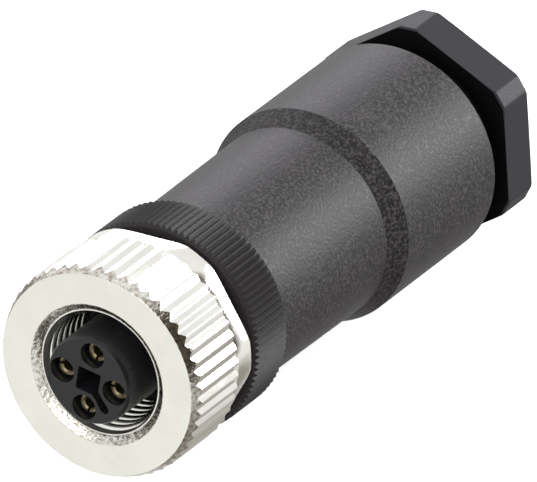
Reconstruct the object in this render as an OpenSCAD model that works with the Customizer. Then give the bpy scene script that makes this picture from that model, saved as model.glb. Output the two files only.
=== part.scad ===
// Straight field-wireable M12 cable connector, female, four contacts, screw terminals.
// The axis of every turned piece is +Y. The centre of the mating face is the origin,
// the cable leaves towards +Y, and +Z is up. One flat of the hexagon faces down, and the
// connector rests on the wide part of its housing and on its nut.
// Stations are millimetres along the axis, behind the mating face.

/* [Outside] */
// Diameter over the tips of the collar's knurl, which the nut and the housing follow
collar_d = 20; // [19.6:0.1:20.6]
// How far the nut's knurl stands out past the collar's
nut_stand = 0.1; // [0:0.05:0.3]
// How far the wide part of the housing stands out past the collar
gland_stand = 0.2; // [0:0.05:0.4]

/* [Contact insert] */
// Diameter of the spigot that enters the mating socket
insert_d = 8.3; // [8.1:0.05:8.5]
// Length of the spigot, from the mating face to the sealing flange
spigot_len = 8.9; // [8:0.1:9.4]
// Radial clearance between the sealing ring and the nut's thread
face_seal_free = 0.13; // [0.1:0.01:0.2]
// Edge break round the mating face
insert_edge = 0.2; // [0.1:0.05:0.4]
// Radial clearance between the sealing flange and the nut's thread
flange_free = 0.16; // [0.1:0.02:0.3]
// Thickness of the sealing flange
insert_flange_t = 0.8; // [0.6:0.1:1]
// Height of the flange's shoulder, which holds the coupling nut on its neck
neck_shoulder = 0.7; // [0.5:0.05:0.8]
// Length of the neck held in the knurled collar
neck_grip = 3.1; // [2.5:0.1:5]
// Pitch circle of the contacts
contact_pcd = 5.33; // [5.1:0.01:5.5]
// Diameter of the socket holes in the mating face
socket_hole_d = 2.3; // [2.2:0.05:2.4]
// Bevel round each socket hole
socket_hole_edge = 0.1; // [0.05:0.05:0.15]
// Half diagonal of the core recess between the sockets
recess_reach = 1.56; // [1.4:0.02:1.6]
// Depth of the core recess
recess_depth = 3; // [1:0.5:5]
// Wall between the core recess and each socket hole
recess_wall = 0.4; // [0.3:0.05:0.45]
// Width of the slot that leads out of the core recess
slot_w = 0.75; // [0.5:0.05:0.8]
// Distance of the slot's round end from the axis
slot_reach = 3.25; // [3:0.05:3.5]

/* [Contacts] */
// Diameter of the mating pin that a socket takes
pin_d = 1; // [0.9:0.05:1.05]
// Outside diameter of the socket tube
socket_d = 1.8; // [1.6:0.1:1.9]
// Distance of the socket's mouth behind the mating face
socket_recess = 1; // [0.6:0.1:1.5]
// Depth of the socket's bore
socket_depth = 6; // [5:0.1:6.5]
// Width of the slit that makes the socket springy
slit_w = 0.25; // [0.15:0.05:0.3]
// Diameter of the locating flange of a contact
contact_flange_d = 3; // [2.7:0.1:3.1]
// Diameter of the shaft between flange and terminal
contact_shaft_d = 2; // [1.8:0.1:2.1]
// Diameter of the terminal barrel
terminal_d = 3.2; // [2.9:0.1:3.2]
// Length of the terminal barrel
terminal_len = 8.8; // [8:0.1:9.5]
// Diameter of the wire hole in the terminal barrel
wire_d = 1.6; // [1.2:0.1:1.7]
// Diameter of the clamp screws
clamp_screw_d = 1.9; // [1.6:0.1:2]
// Depth of the clamp screws' heads below the surface of the rear insulator
clamp_sink = 0.335; // [0.3:0.005:0.5]

/* [Terminal block] */
// Wall of the collar's spigot round the rear insulator
spigot_wall = 1.63; // [1.5:0.01:1.8]
// Length of the rear insulator
block_len = 16; // [15:0.1:18]

/* [Coupling nut] */
// Distance of the nut's front behind the mating face
nut_setback = 1.5; // [1:0.1:2]
// Thickness of the nut's floor, behind the sealing flange
nut_floor_t = 1.05; // [0.8:0.05:1.5]
// Height of the front bevel, from the flat front ring to the tips of the knurl
nut_front_drop = 0.5; // [0.4:0.05:0.8]
// Length of the front bevel
nut_bevel = 1.05; // [0.6:0.05:1.4]
// Number of grooves round the nut
nut_teeth = 50; // [40:1:60]
// Depth of the nut's grooves
nut_groove = 0.45; // [0.3:0.05:0.6]
// Length of the plain hexagonal band at the nut's rear
nut_band_len = 2.4; // [1.8:0.1:3]
// How far the band's flats lie below the tips of the knurl
nut_flat_drop = 0.7; // [0.5:0.05:0.8]
// How far the band's rounded corners lie below the tips of the knurl
nut_corner_drop = 0.05; // [0.05:0.05:0.3]
// Bevel at the rear of the band
nut_rear_edge = 0.15; // [0.1:0.05:0.6]
// Height of the countersink at the nut's mouth, outside the coupling thread
mouth_flare = 0.675; // [0.3:0.005:0.9]
// Nominal diameter of the coupling thread
thread_d = 12; // [12:0.1:12.4]
// Pitch of the coupling thread
thread_pitch = 1; // [0.75:0.25:1]

/* [Knurled collar] */
// Free gap between the nut and the collar
nut_gap = 0.86; // [0.5:0.02:1.2]
// Length of the knurled ring
collar_len = 5.35; // [4.5:0.05:6]
// Number of grooves round the collar
collar_teeth = 100; // [80:1:110]
// Depth of the collar's grooves
collar_groove = 0.3; // [0.15:0.05:0.35]
// Plain rim between the collar's grooves and its end faces
collar_rim = 0.1; // [0.05:0.05:0.3]
// Length of the threaded spigot
spigot_thread_len = 7.3; // [6.5:0.1:8]

/* [Housing] */
// Gap line between the collar and the housing
housing_gap = 0.15; // [0.1:0.05:0.4]
// Height of the shoulder between the wide part and the front of the narrow part
body_front_drop = 1.15; // [1:0.05:1.3]
// Height of the shoulder between the wide part and the narrow part at the step
body_rear_drop = 0.975; // [0.6:0.025:1]
// Length of the narrow part
body_len = 17.65; // [16.5:0.05:20]
// Length of the conical step
step_len = 2.1; // [1:0.1:4]
// Length of the wide part
gland_len = 14.85; // [14.5:0.05:17]
// Rounding of the wide part's rear rim
rim_r = 0.12; // [0.1:0.01:0.6]
// Wall of the narrow part round the collar's spigot
body_wall = 1.2; // [1.15:0.05:1.4]
// Step between the collar's spigot and the wiring chamber
chamber_step = 0.25; // [0.2:0.05:0.5]
// Wall of the wide part round the pressing screw's neck
gland_wall = 2.3; // [2.2:0.05:2.5]
// Thickness of the seat between wiring chamber and cable gland
seat_t = 1.4; // [1:0.1:2]

/* [Cable gland] */
// Wall of the clamp cage and of the gland seal
cage_wall = 2.6; // [2.5:0.05:3]
// Clearance between the largest cable and the bores of the gland
cable_free = 0.3; // [0.2:0.05:0.5]
// Wall of the pressing screw's neck round the clamp cage
neck_wall = 0.85; // [0.8:0.05:1.2]
// Free gap between the clamp cage and the neck
cage_free = 0.15; // [0.1:0.05:0.2]
// Length of the gland seal
seal_len = 5; // [4:0.1:5.2]
// Length of the clamp cage
cage_len = 7.5; // [7:0.1:8]
// Number of claws on the clamp cage
cage_claws = 10; // [6:1:12]
// Width of the gaps between the claws
claw_gap = 0.9; // [0.5:0.1:1.2]

/* [Pressing screw] */
// Size of the hexagon across its flats
hex_af = 19.2; // [18.6:0.1:20]
// Diameter over the turned corners of the hexagon
hex_d = 21.3; // [20.8:0.1:22]
// Thickness of the hexagon
hex_t = 4.1; // [3.5:0.1:5]
// Edge break on the hexagon's corners
hex_edge = 0.15; // [0.1:0.05:0.4]
// Free gap between the housing and the hexagon
hex_gap = 2.95; // [2.7:0.05:4]
// Length of the threaded neck inside the housing
neck_thread_len = 6.4; // [6:0.1:6.5]

/* [Seals] */
// Cord diameter of the sealing ring on the spigot
face_seal_w = 0.95; // [0.8:0.05:1]
// Cord diameter of the sealing ring behind the collar
collar_seal_w = 1; // [0.8:0.05:1.1]

/* [Clearances] */
// Radial clearance of running threads and of the nut on its neck
running = 0.05; // [0.02:0.01:0.1]
// Radial clearance of pressed-in pieces
press = 0.02; // [0.01:0.01:0.05]
// Radial clearance round the rubber rings
ring_free = 0.03; // [0.02:0.01:0.06]

/* [Hidden] */
$fn = 96;
eps = 0.01;
contacts = 4;

// Outside diameters, which all follow the collar's knurl
nut_d = collar_d + 2 * nut_stand;
nut_front_d = nut_d - 2 * nut_front_drop;
nut_band_af = nut_d - 2 * nut_flat_drop;
nut_band_d = nut_d - 2 * nut_corner_drop;
gland_d = collar_d + 2 * gland_stand;
body_front_d = gland_d - 2 * body_front_drop;
body_rear_d = gland_d - 2 * body_rear_drop;

// Inside diameters, which follow the outside and the walls
spigot_d = body_front_d - 2 * body_wall;
block_d = spigot_d - 2 * (spigot_wall + press);
chamber_d = spigot_d - 2 * chamber_step;
neck_thread_d = gland_d - 2 * gland_wall;
screw_bore_d = neck_thread_d - 2 * neck_wall;
cage_d = screw_bore_d - 2 * cage_free;
seal_d = cage_d;
cable_bore_d = cage_d - 2 * cage_wall;
cable_d = cable_bore_d - 2 * cable_free;

// Coupling thread, drawn as its minor cylinder, and what passes through it
mouth_d = thread_d + 2 * mouth_flare;
thread_minor_d = thread_d - 1.0825 * thread_pitch;
insert_flange_d = thread_minor_d - 2 * flange_free;
seal_seat_d = thread_minor_d - 2 * (face_seal_free + face_seal_w + ring_free);
neck_d = insert_flange_d - 2 * neck_shoulder;

// Stations along the axis
nut_float = 0.25;
flange_y = spigot_len;
neck_y = flange_y + insert_flange_t;
nut_y = nut_setback;
nut_floor_y = neck_y + nut_float;
nut_end_y = nut_floor_y + nut_floor_t;
collar_y = nut_end_y + nut_gap;
collar_end_y = collar_y + collar_len;
block_y = collar_y + neck_grip;
block_end_y = block_y + block_len;
spigot_end_y = collar_end_y + spigot_thread_len;
housing_y = collar_end_y + housing_gap;
step_y = housing_y + body_len;
gland_y = step_y + step_len;
housing_end_y = gland_y + gland_len;
hex_y = housing_end_y + hex_gap;
hex_end_y = hex_y + hex_t;

// Angular places of the features, turned about the axis from +X towards -Z
contact_turn = -17;
slot_turn = 28.5;
nut_turn = 5.2;
band_turn = 2;
collar_turn = 0.9;
hex_turn = 30;

// Countersink of the nut
mouth_slope = 0.85;
mouth_y = nut_y + mouth_flare * mouth_slope;
thread_y = mouth_y + (thread_d - thread_minor_d) / 2;

// Seat of the sealing ring on the spigot
seat_free = 0.35;
seat_ramp = 0.3;
seat_step_y = flange_y - face_seal_w - seat_free;

// Contact fixings in the two insulators
contact_flange_t = 0.75;
contact_flange_y = block_y - contact_flange_t;
contact_shank_d = socket_hole_d - 2 * press;
shank_lap = 1.5;
contact_shank_y = socket_recess + socket_depth - shank_lap;
terminal_sink = 0.2;
terminal_end_y = block_end_y - terminal_sink;
terminal_y = terminal_end_y - terminal_len;
wire_depth = 6.3;
clamp_back = 3.3;
clamp_y = terminal_end_y - clamp_back;
clamp_free = 0.03;
clamp_hole_d = clamp_screw_d + 2 * clamp_free;
wire_clear = 0.1;
clamp_tip = contact_pcd / 2 + wire_d / 2 + wire_clear;
clamp_screw_len = block_d / 2 - clamp_sink - clamp_tip;

// Bevel that the collar's grooves run out on
collar_bevel = collar_groove + collar_rim;

// Collar seal, set in a groove behind the knurled ring
groove_free = 0.4;
groove_wall = 0.2;
seal_stand = 0.15;
groove_w = collar_seal_w + groove_free;
groove_y = housing_y + groove_wall;
groove_d = spigot_d - 2 * (collar_seal_w - seal_stand);
seal_bore_d = groove_d + 2 * (collar_seal_w + 2 * ring_free);

// Cable gland, from the seat in the housing to the pressing screw
seat_y = gland_y - seat_t / 2;
seal_gap = 0.1;
seal_y = seat_y + seat_t + seal_gap;
seal_end_y = seal_y + seal_len;
pocket_end_y = seal_end_y + 0.3;
gland_bore_d = neck_thread_d + 2 * running;
seal_pocket_d = seal_d + 2 * seal_gap;
seal_lip = 0.8;
cage_gap = 0.8;
cage_y = seal_end_y + cage_gap;
cage_end_y = cage_y + cage_len;
cage_ring_len = 2;
neck_end_y = housing_end_y - neck_thread_len;
cage_taper = 1.2;
claw_free = 0.15;
cone_drop = (screw_bore_d - cable_bore_d) / 2;
cone_y = cage_end_y - cage_taper;

// Edge breaks
thread_edge = 0.4;
mouth_edge = 0.4;
block_edge = 0.5;
cable_edge = 0.5;

// ---- Helpers ----

// Lays a shape drawn along Z down along the connector's axis
module lay() {
    rotate([-90, 0, 0]) children();
}

// A cylinder between two stations
module rod(d, from, to) {
    translate([0, 0, from]) cylinder(d = d, h = to - from);
}

// A cone between two stations
module taper(d1, d2, from, to) {
    translate([0, 0, from]) cylinder(d1 = d1, d2 = d2, h = to - from);
}

// A solid turned from an outline of [radius, station] points
module turned(outline) {
    rotate_extrude() polygon(outline);
}

// A shape kept inside a bevelled edge: the cone passes through the rim of diameter d1 at the
// first station and reaches d2 at the second, and goes on past it, clear of what it trims
module bevel_trim(d1, d2, from, to, end) {
    slope = (to - from) / ((d2 - d1) / 2);
    past = d2 / 2 + 1;
    turned([[0, from], [d1 / 2, from], [past, from + slope * (past - d1 / 2)], [past, end], [0, end]]);
}

// The outline of a ring of pointed teeth
function teeth(count, d, depth, turn) = [
    for (i = [0 : 2 * count - 1])
        let (r = d / 2 - (i % 2) * depth, a = turn + 180 * i / count)
            [r * cos(a), r * sin(a)]
];

// A prism of pointed teeth between two stations
module tooth_prism(count, d, depth, turn, from, to) {
    translate([0, 0, from])
        linear_extrude(height = to - from)
            polygon(teeth(count, d, depth, turn));
}

// A hexagon with turned corners and a flat at angle 0, as a flat shape
module turned_hexagon(af, corner_d) {
    intersection() {
        rotate(30) circle(d = af / cos(30), $fn = 6);
        circle(d = corner_d);
    }
}

// A rubber ring of round cord
module o_ring(inner_d, cord, at) {
    translate([0, 0, at])
        rotate_extrude()
            translate([(inner_d + cord) / 2, 0]) circle(d = cord, $fn = 32);
}

// Copies a shape to each contact's place round the axis
module at_contacts() {
    for (i = [0 : contacts - 1])
        rotate(contact_turn + 360 / contacts * i)
            translate([contact_pcd / 2, 0, 0])
                children();
}

// ---- Coupling nut ----

// The outside of the nut, turned, before its grooves are cut
module nut_knurl() {
    band_y = nut_end_y - nut_band_len;
    intersection() {
        tooth_prism(nut_teeth, nut_d, nut_groove, nut_turn, nut_y, band_y);
        bevel_trim(nut_front_d, nut_d, nut_y, nut_y + nut_bevel, band_y);
    }
}

// The rounded hexagon behind the knurl, with its rear bevel
module nut_band() {
    band_y = nut_end_y - nut_band_len;
    intersection() {
        translate([0, 0, band_y - eps])
            linear_extrude(height = nut_band_len + eps)
                rotate(band_turn) turned_hexagon(nut_band_af, nut_band_d);
        turned([
            [0, band_y - eps],
            [nut_band_d / 2, band_y - eps],
            [nut_band_d / 2, nut_end_y - 2 * nut_rear_edge],
            [nut_band_d / 2 - nut_rear_edge, nut_end_y],
            [0, nut_end_y]
        ]);
    }
}

module coupling_nut() {
    color([0.86, 0.86, 0.83]) lay() difference() {
        union() {
            nut_knurl();
            nut_band();
        }
        turned([
            [0, nut_y - 1],
            [mouth_d / 2, nut_y - 1],
            [mouth_d / 2, nut_y],
            [thread_d / 2, mouth_y],
            [thread_minor_d / 2, thread_y],
            [thread_minor_d / 2, nut_floor_y],
            [0, nut_floor_y]
        ]);
        rod(neck_d + 2 * running, nut_floor_y - eps, nut_end_y + 1);
    }
}

// ---- Insulators ----

// The core recess between the sockets: a square with hollow sides and a slot from one corner
module core_recess() {
    difference() {
        union() {
            rotate(contact_turn + 180 / contacts) circle(r = recess_reach, $fn = 4);
            rotate(slot_turn) {
                translate([0, -slot_w / 2]) square([slot_reach - slot_w / 2, slot_w]);
                translate([slot_reach - slot_w / 2, 0]) circle(d = slot_w, $fn = 32);
            }
        }
        at_contacts() circle(d = socket_hole_d + 2 * recess_wall);
    }
}

module contact_insert() {
    color([0.11, 0.11, 0.13]) lay() difference() {
        turned([
            [0, 0],
            [insert_d / 2 - insert_edge, 0],
            [insert_d / 2, insert_edge],
            [insert_d / 2, seat_step_y],
            [seal_seat_d / 2, seat_step_y + seat_ramp],
            [seal_seat_d / 2, flange_y],
            [insert_flange_d / 2, flange_y],
            [insert_flange_d / 2, neck_y],
            [neck_d / 2, neck_y],
            [neck_d / 2, block_y],
            [0, block_y]
        ]);
        at_contacts() {
            rod(socket_hole_d, -1, block_y + 1);
            taper(socket_hole_d + 2 * socket_hole_edge + 2 * eps, socket_hole_d, -eps, socket_hole_edge);
            rod(contact_flange_d + 2 * press, contact_flange_y, block_y + 1);
        }
        translate([0, 0, -1]) linear_extrude(height = recess_depth + 1) core_recess();
    }
}

module terminal_block() {
    terminal_hole_d = terminal_d + 2 * press;
    color([0.16, 0.16, 0.17]) lay() difference() {
        union() {
            rod(block_d, block_y, block_end_y - block_edge);
            taper(block_d, block_d - 2 * block_edge, block_end_y - block_edge, block_end_y);
        }
        at_contacts() {
            rod(contact_shaft_d + 2 * press, block_y - 1, terminal_y + eps);
            rod(terminal_hole_d, terminal_y, block_end_y + 1);
            translate([0, 0, clamp_y]) rotate([0, 90, 0])
                cylinder(d = clamp_hole_d + 2 * clamp_free, h = block_d);
        }
    }
}

// ---- Contacts and clamp screws ----

// One contact: slit socket, locating flange, shaft and drilled terminal barrel
module contact() {
    socket_end_y = socket_recess + socket_depth;
    bore_d = pin_d + 2 * running;
    edge = 0.15;
    past = 1;
    color([0.83, 0.66, 0.32]) difference() {
        union() {
            rod(socket_d, socket_recess, contact_shank_y);
            rod(contact_shank_d, contact_shank_y, contact_flange_y);
            rod(contact_flange_d, contact_flange_y, block_y);
            rod(contact_shaft_d, block_y, terminal_y);
            rod(terminal_d, terminal_y, terminal_end_y);
        }
        rod(bore_d, socket_recess - past, socket_end_y);
        taper(bore_d + 2 * edge + 2 * eps, bore_d, socket_recess - eps, socket_recess + edge);
        translate([-socket_d, -slit_w / 2, socket_recess - past])
            cube([2 * socket_d, slit_w, contact_shank_y - socket_recess]);
        rod(wire_d, terminal_end_y - wire_depth, terminal_end_y + past);
        translate([0, 0, clamp_y]) rotate([0, 90, 0]) cylinder(d = clamp_hole_d, h = terminal_d);
    }
}

module contact_at(i) {
    lay() rotate(contact_turn + 360 / contacts * i) translate([contact_pcd / 2, 0, 0]) contact();
}

// One clamp screw, headless, with a screwdriver slot in its outer end
module clamp_screw_at(i) {
    slot_depth = 0.6;
    slot_width = 0.4;
    point = 0.25;
    color([0.75, 0.75, 0.72]) lay() rotate(contact_turn + 360 / contacts * i)
        translate([clamp_tip, 0, clamp_y]) rotate([0, 90, 0]) difference() {
            union() {
                taper(clamp_screw_d - 2 * point, clamp_screw_d, 0, point);
                rod(clamp_screw_d, point, clamp_screw_len);
            }
            translate([-slot_width / 2, -clamp_screw_d, clamp_screw_len - slot_depth])
                cube([slot_width, 2 * clamp_screw_d, 2 * slot_depth]);
        }
}

// ---- Seals ----

module face_seal() {
    color([0.2, 0.2, 0.2]) lay()
        o_ring(seal_seat_d + 2 * ring_free, face_seal_w, flange_y - face_seal_w / 2 - ring_free);
}

module collar_seal() {
    color([0.2, 0.2, 0.2]) lay()
        o_ring(groove_d + 2 * ring_free, collar_seal_w, groove_y + groove_w / 2);
}

module gland_seal() {
    bore_d = cable_d + 0.2;
    edge = 0.4;
    color([0.25, 0.25, 0.26]) lay() turned([
        [bore_d / 2, seal_y],
        [seal_d / 2 - seal_lip, seal_y],
        [seal_d / 2, seal_y + seal_lip],
        [seal_d / 2, seal_end_y],
        [bore_d / 2 + edge, seal_end_y],
        [bore_d / 2, seal_end_y - edge]
    ]);
}

// ---- Knurled collar ----

module knurled_collar() {
    rim_d = collar_d - 2 * collar_bevel;
    color([0.13, 0.13, 0.14]) lay() difference() {
        union() {
            intersection() {
                tooth_prism(collar_teeth, collar_d, collar_groove, collar_turn, collar_y, collar_end_y);
                bevel_trim(rim_d, collar_d, collar_y, collar_y + collar_bevel, collar_end_y);
                translate([0, 0, collar_y + collar_end_y]) mirror([0, 0, 1])
                    bevel_trim(rim_d, collar_d, collar_y, collar_y + collar_bevel, collar_end_y);
            }
            turned([
                [0, collar_y + 1],
                [spigot_d / 2, collar_y + 1],
                [spigot_d / 2, groove_y],
                [groove_d / 2, groove_y],
                [groove_d / 2, groove_y + groove_w],
                [spigot_d / 2, groove_y + groove_w],
                [spigot_d / 2, spigot_end_y - thread_edge],
                [spigot_d / 2 - thread_edge, spigot_end_y],
                [0, spigot_end_y]
            ]);
        }
        rod(neck_d + 2 * press, collar_y - 1, block_y + 1);
        rod(block_d + 2 * press, block_y, spigot_end_y + 1);
    }
}

// ---- Housing ----

module housing() {
    thread_bore_d = spigot_d + 2 * running;
    chamber_y = spigot_end_y + 1;
    seal_bore_end_y = groove_y + groove_w + 0.3;
    front_edge = 0.15;
    color([0.27, 0.27, 0.3]) lay() difference() {
        union() {
            turned([
                [0, housing_y],
                [body_front_d / 2 - front_edge, housing_y],
                [body_front_d / 2, housing_y + front_edge],
                [body_rear_d / 2, step_y],
                [gland_d / 2, gland_y],
                [gland_d / 2, housing_end_y - rim_r],
                [0, housing_end_y - rim_r]
            ]);
            rod(gland_d - 2 * rim_r, housing_end_y - rim_r - eps, housing_end_y);
            translate([0, 0, housing_end_y - rim_r])
                rotate_extrude() translate([gland_d / 2 - rim_r, 0]) circle(r = rim_r, $fn = 32);
        }
        turned([
            [0, housing_y - 1],
            [seal_bore_d / 2, housing_y - 1],
            [seal_bore_d / 2, seal_bore_end_y],
            [thread_bore_d / 2, seal_bore_end_y + (seal_bore_d - thread_bore_d) / 2],
            [thread_bore_d / 2, chamber_y],
            [chamber_d / 2, chamber_y + (thread_bore_d - chamber_d) / 2],
            [chamber_d / 2, seat_y],
            [cable_bore_d / 2, seat_y],
            [cable_bore_d / 2, seat_y + seat_t],
            [seal_pocket_d / 2 - seal_lip, seat_y + seat_t],
            [seal_pocket_d / 2, seat_y + seat_t + seal_lip],
            [seal_pocket_d / 2, pocket_end_y],
            [gland_bore_d / 2, pocket_end_y],
            [gland_bore_d / 2, housing_end_y - mouth_edge],
            [gland_bore_d / 2 + mouth_edge + 1, housing_end_y + 1],
            [0, housing_end_y + 1]
        ]);
    }
}

// ---- Clamp cage ----

module clamp_cage() {
    tip = 1;
    lead = 0.2;
    color([0.2, 0.2, 0.21]) lay() difference() {
        turned([
            [cable_bore_d / 2, cage_y],
            [cage_d / 2, cage_y],
            [cage_d / 2, cone_y - claw_free],
            [cage_d / 2 - cage_taper, cage_end_y - claw_free],
            [cable_bore_d / 2 + lead, cage_end_y - claw_free],
            [cable_bore_d / 2, cage_end_y - tip]
        ]);
        for (i = [0 : cage_claws - 1])
            rotate(360 / cage_claws * i)
                translate([0, -claw_gap / 2, cage_y + cage_ring_len])
                    cube([cage_d, claw_gap, cage_len]);
    }
}

// ---- Pressing screw ----

module pressing_screw() {
    bore_y = cone_y + cone_drop;
    color([0.2, 0.21, 0.25]) lay() difference() {
        union() {
            rod(neck_thread_d, neck_end_y, hex_y + eps);
            intersection() {
                translate([0, 0, hex_y])
                    linear_extrude(height = hex_t)
                        rotate(hex_turn) turned_hexagon(hex_af, hex_d);
                turned([
                    [0, hex_y],
                    [hex_d / 2 - hex_edge, hex_y],
                    [hex_d / 2, hex_y + hex_edge],
                    [hex_d / 2, hex_end_y - hex_edge],
                    [hex_d / 2 - hex_edge, hex_end_y],
                    [0, hex_end_y]
                ]);
            }
        }
        turned([
            [0, neck_end_y - 1],
            [screw_bore_d / 2, neck_end_y - 1],
            [screw_bore_d / 2, cone_y],
            [cable_bore_d / 2, bore_y],
            [cable_bore_d / 2, hex_end_y - cable_edge],
            [cable_bore_d / 2 + 2 * cable_edge, hex_end_y + cable_edge],
            [0, hex_end_y + cable_edge]
        ]);
    }
}

// ---- Parts ----

coupling_nut();
contact_insert();
face_seal();
knurled_collar();
collar_seal();
contact_at(0);  // contact_1
contact_at(1);  // contact_2
contact_at(2);  // contact_3
contact_at(3);  // contact_4
clamp_screw_at(0);  // terminal_screw_1
clamp_screw_at(1);  // terminal_screw_2
clamp_screw_at(2);  // terminal_screw_3
clamp_screw_at(3);  // terminal_screw_4
terminal_block();
housing();
gland_seal();
clamp_cage();
pressing_screw();
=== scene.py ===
# %% [markdown]
# # A field-wireable M12 connector
#
# This lesson dresses a small cable connector. A nickel-plated coupling nut turns in front, a
# black insert with four sockets stands inside it, and a finely knurled collar, a grained
# housing and a hexagonal pressing screw follow along one axis. The sizes come from a packed
# CAD model, which is loaded first and never moved. Blender adds what a turned or moulded
# surface shows from close by: rounded edges, true threads, grain and plating.

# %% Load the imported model
import math

import bmesh
import bpy
import numpy as np
from mathutils import Matrix, Vector


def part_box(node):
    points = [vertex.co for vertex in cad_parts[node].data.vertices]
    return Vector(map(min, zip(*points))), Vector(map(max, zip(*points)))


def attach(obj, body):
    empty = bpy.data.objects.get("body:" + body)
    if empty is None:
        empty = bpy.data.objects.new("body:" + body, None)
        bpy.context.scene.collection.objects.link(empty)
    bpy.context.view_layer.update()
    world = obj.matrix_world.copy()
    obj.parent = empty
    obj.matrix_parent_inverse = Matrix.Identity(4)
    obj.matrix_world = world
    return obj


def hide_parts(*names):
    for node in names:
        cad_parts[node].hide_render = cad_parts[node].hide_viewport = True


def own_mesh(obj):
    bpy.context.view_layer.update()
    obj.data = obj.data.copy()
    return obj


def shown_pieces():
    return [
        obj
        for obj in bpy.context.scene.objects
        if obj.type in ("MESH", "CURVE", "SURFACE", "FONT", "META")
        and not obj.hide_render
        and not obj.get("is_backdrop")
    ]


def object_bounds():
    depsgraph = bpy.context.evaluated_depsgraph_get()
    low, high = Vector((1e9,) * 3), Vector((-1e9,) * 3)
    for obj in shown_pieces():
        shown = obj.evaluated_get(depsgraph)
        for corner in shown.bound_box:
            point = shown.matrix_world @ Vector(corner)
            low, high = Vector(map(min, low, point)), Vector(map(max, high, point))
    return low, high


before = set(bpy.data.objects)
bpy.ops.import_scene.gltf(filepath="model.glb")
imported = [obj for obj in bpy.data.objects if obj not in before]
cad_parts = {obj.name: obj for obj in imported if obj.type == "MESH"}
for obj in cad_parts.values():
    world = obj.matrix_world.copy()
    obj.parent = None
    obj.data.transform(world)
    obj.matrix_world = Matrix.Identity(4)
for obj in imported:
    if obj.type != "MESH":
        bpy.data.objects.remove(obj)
cad_low, cad_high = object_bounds()
MM = 0.001
print("nodes:", len(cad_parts), "box in mm:", [round(v / MM, 2) for v in cad_high - cad_low])

# %% [markdown]
# ## The camera comes first
#
# A product picture of a small part is taken with a long lens from far away, so that the near
# end doesn't swell. The camera here stands almost two metres off with a 1500 mm lens. It
# looks down at 38 degrees and is rolled, so that the axis runs from lower left to upper right.

# %% Camera
LENS = 1500.0
SENSOR = 36.0
FRAME_WIDTH = 537
SCALE = 11.528
aim_right = Vector((0.7664, 0.5186, 0.3789))
aim_up = Vector((-0.6066, 0.3903, 0.6926))
aim_forward = Vector((-0.2113, 0.7607, -0.6137))
look_at = (Vector((0, 1.5, 0)) + 14.951 * aim_right + 11.634 * aim_up) * MM
distance = LENS / SENSOR * FRAME_WIDTH / SCALE * MM

camera = bpy.data.objects.new("Camera", bpy.data.cameras.new("Camera"))
camera.data.lens = LENS
camera.data.sensor_width = SENSOR
camera.data.clip_start = 0.1
camera.data.clip_end = 20
turn = Matrix((aim_right, aim_up, -aim_forward)).transposed().to_4x4()
camera.matrix_world = Matrix.Translation(look_at - distance * aim_forward) @ turn
bpy.context.scene.collection.objects.link(camera)
bpy.context.scene.camera = camera
print("camera distance in m:", round(distance, 3))

# %% [markdown]
# ## Light and floor
#
# Plating shows nothing of its own, only what stands around it. So the room matters as much as
# the lamps: it is pale, with darker patches where the nut's bevels look, and one small bright
# patch above the camera that picks out rims. Two area lamps stand in for soft boxes behind the
# part, a strong one on the right and a weak one on the left, and lay two soft streaks along it.

# %% Room
world = bpy.data.worlds.new("Room")
bpy.context.scene.world = world
world.use_nodes = True
nodes, links = world.node_tree.nodes, world.node_tree.links
nodes.clear()
where = nodes.new("ShaderNodeTexCoord")
glow = nodes.new("ShaderNodeBackground")
out = nodes.new("ShaderNodeOutputWorld")
links.new(glow.outputs[0], out.inputs[0])


def patch(under, direction, inner, outer, colour):
    """Paints a soft round patch onto the room; inner and outer are degrees from its middle."""
    toward = nodes.new("ShaderNodeVectorMath")
    toward.operation = "DOT_PRODUCT"
    toward.inputs[1].default_value = Vector(direction).normalized()
    share = nodes.new("ShaderNodeMapRange")
    share.interpolation_type = "SMOOTHSTEP"
    share.inputs["From Min"].default_value = math.cos(math.radians(outer))
    share.inputs["From Max"].default_value = math.cos(math.radians(inner))
    mix = nodes.new("ShaderNodeMix")
    mix.data_type = "RGBA"
    links.new(where.outputs["Generated"], toward.inputs[0])
    links.new(toward.outputs["Value"], share.inputs["Value"])
    links.new(share.outputs["Result"], mix.inputs["Factor"])
    if under is None:
        mix.inputs["A"].default_value = (0.95, 0.95, 0.95, 1)
    else:
        links.new(under, mix.inputs["A"])
    mix.inputs["B"].default_value = (*colour, 1)
    return mix.outputs["Result"]


room = patch(None, (-0.2, -0.75, -0.6), 20, 50, (0.96, 0.96, 0.93))
room = patch(room, (0.75, 0.3, -0.6), 25, 50, (0.34, 0.32, 0.29))
room = patch(room, (0.78, -0.25, -0.58), 12, 28, (0.13, 0.12, 0.11))
room = patch(room, (0.65, -0.02, 0.75), 32, 46, (0.09, 0.075, 0.06))
room = patch(room, (-0.65, 0.15, -0.75), 20, 38, (0.14, 0.12, 0.10))
room = patch(room, (-0.1, -0.85, 0.45), 10, 24, (4.0, 4.0, 3.9))
links.new(room, glow.inputs["Color"])

# %% Soft boxes
def soft_box(name, toward, distance, size, power, tint=(1, 1, 1)):
    """A square area lamp in a direction from the middle of the part, and facing it."""
    lamp = bpy.data.lights.new(name, "AREA")
    lamp.size = size
    lamp.energy = power
    lamp.color = tint
    obj = bpy.data.objects.new(name, lamp)
    middle = Vector((0, 0.028, 0))
    obj.location = middle + Vector(toward).normalized() * distance
    obj.rotation_euler = (middle - obj.location).to_track_quat("-Z", "Y").to_euler()
    bpy.context.scene.collection.objects.link(obj)
    return obj


soft_box("Back right", (0.37, 0.76, 0.53), 0.7, 0.3, 4.0)
soft_box("Back left", (-0.66, 0.72, 0.2), 0.7, 0.3, 1.2, (0.98, 0.96, 1.0))

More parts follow.
